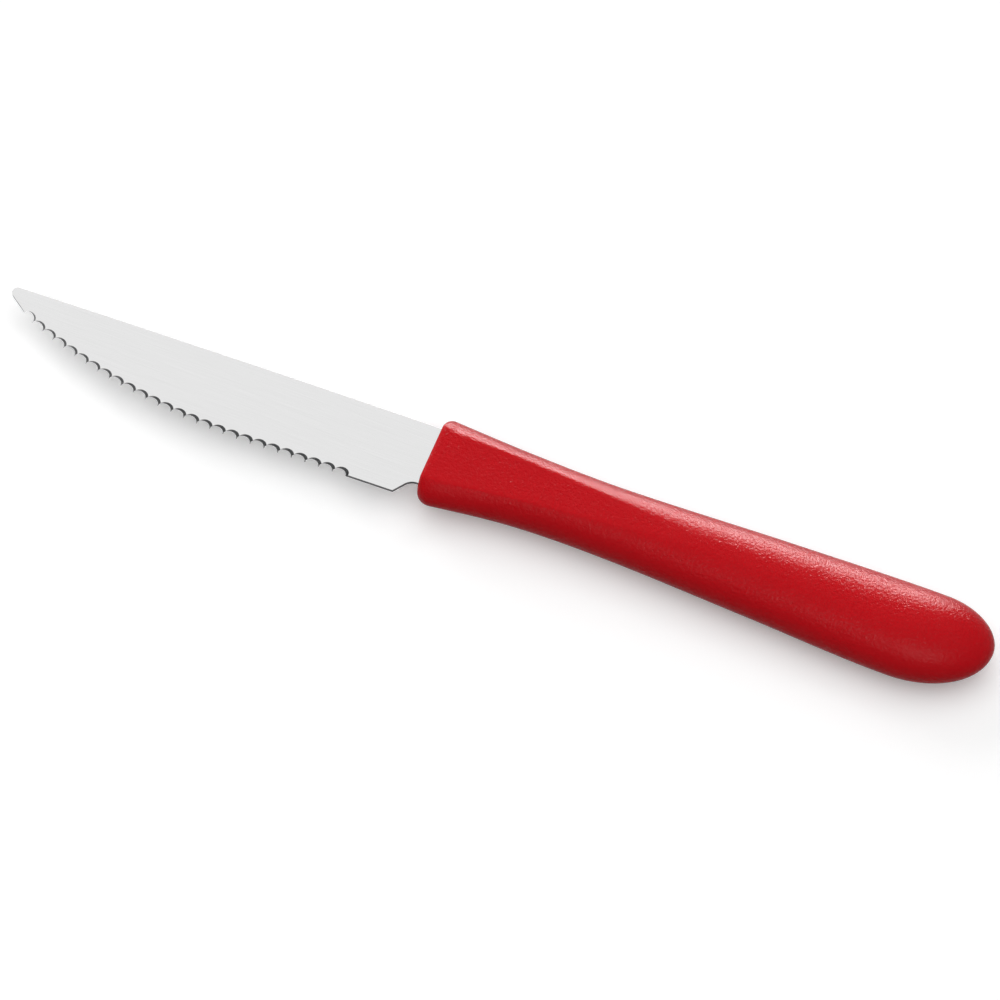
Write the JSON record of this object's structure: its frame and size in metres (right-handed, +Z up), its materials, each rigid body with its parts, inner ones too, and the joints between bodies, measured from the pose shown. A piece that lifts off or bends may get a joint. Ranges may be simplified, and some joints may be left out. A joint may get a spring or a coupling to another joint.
{
  "type": "steak knife",
  "caption": "Steak knife with a thin scalloped stainless blade whose hidden tang is keyed into a red moulded plastic handle that swells from a narrow waist to a rounded butt.",
  "frame": {"origin": "under the middle of the whole knife, on the plane that the handle's lower side touches when the knife lies on its side", "axes": "+X from the tip to the butt along the handle's axis, +Y from the cutting edge to the spine, +Z up out of the blade's left face"},
  "size_m": [0.2106, 0.02, 0.0128],
  "materials": {
    "stainless": "satin ground sheet",
    "red_plastic": "finely grained moulding"
  },
  "bodies": {
    "root": {"blade": "stainless", "handle": "red_plastic"}
  },
  "joints": []
}
